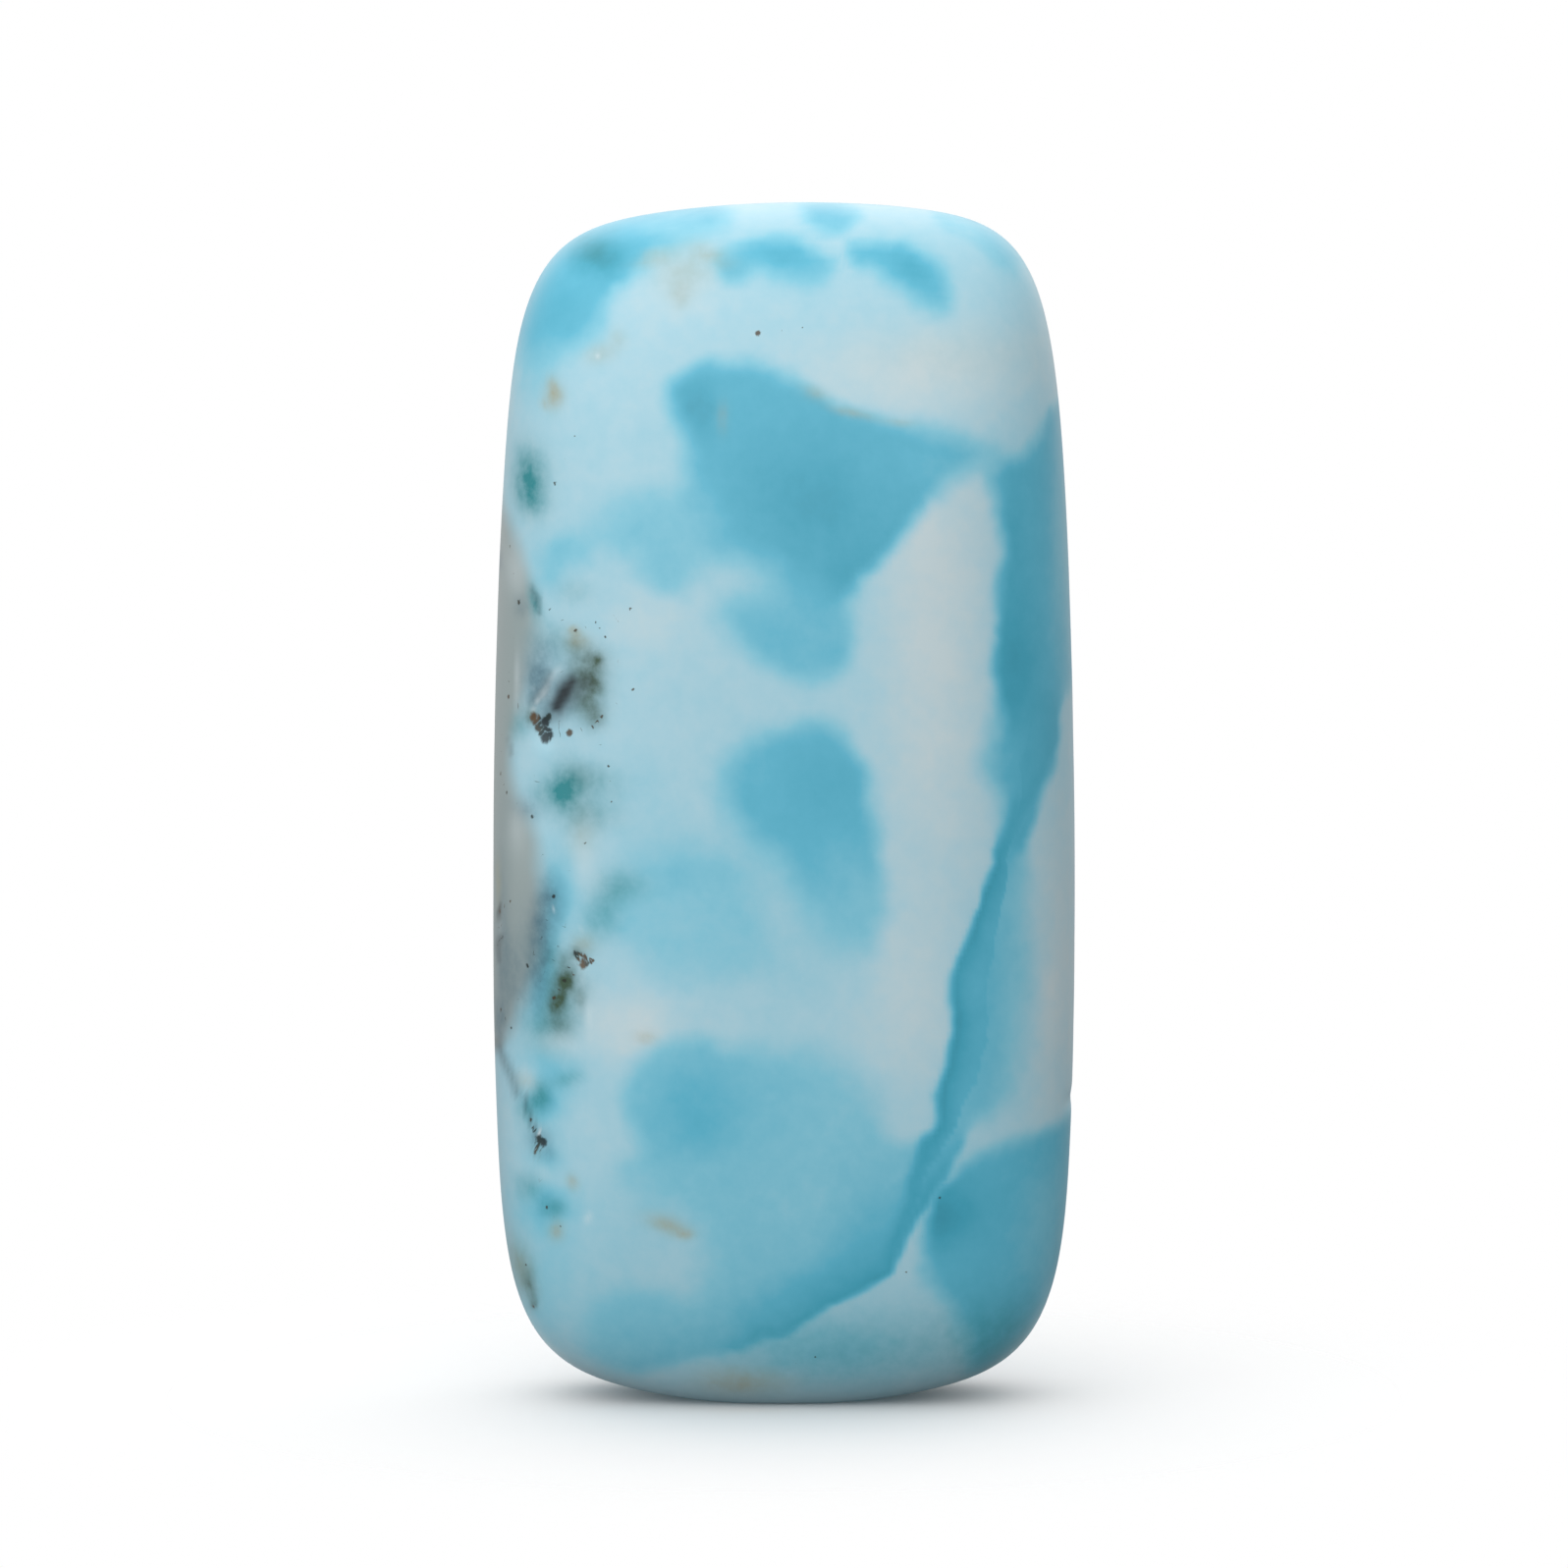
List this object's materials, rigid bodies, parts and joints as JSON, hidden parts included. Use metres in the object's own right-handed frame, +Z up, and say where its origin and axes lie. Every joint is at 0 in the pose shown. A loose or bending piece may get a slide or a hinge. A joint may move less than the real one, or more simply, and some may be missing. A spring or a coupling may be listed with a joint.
{
  "type": "polished larimar stone",
  "caption": "Oblong block of larimar, ground to a rounded pillow shape and satin polished, that stands on a small flat at its lower end.",
  "frame": {"origin": "middle of the flat foot that the stone stands on, under the middle of its outline", "axes": "+Z up along the stone's length, +X to the right of the front face, -Y out of the front face"},
  "size_m": [0.0194, 0.0126, 0.04],
  "materials": {
    "larimar": "satin polish; clouded sky blue and white pectolite with grey matrix and dark specks down its left side"
  },
  "bodies": {
    "root": {"larimar_stone": "larimar"}
  },
  "joints": []
}
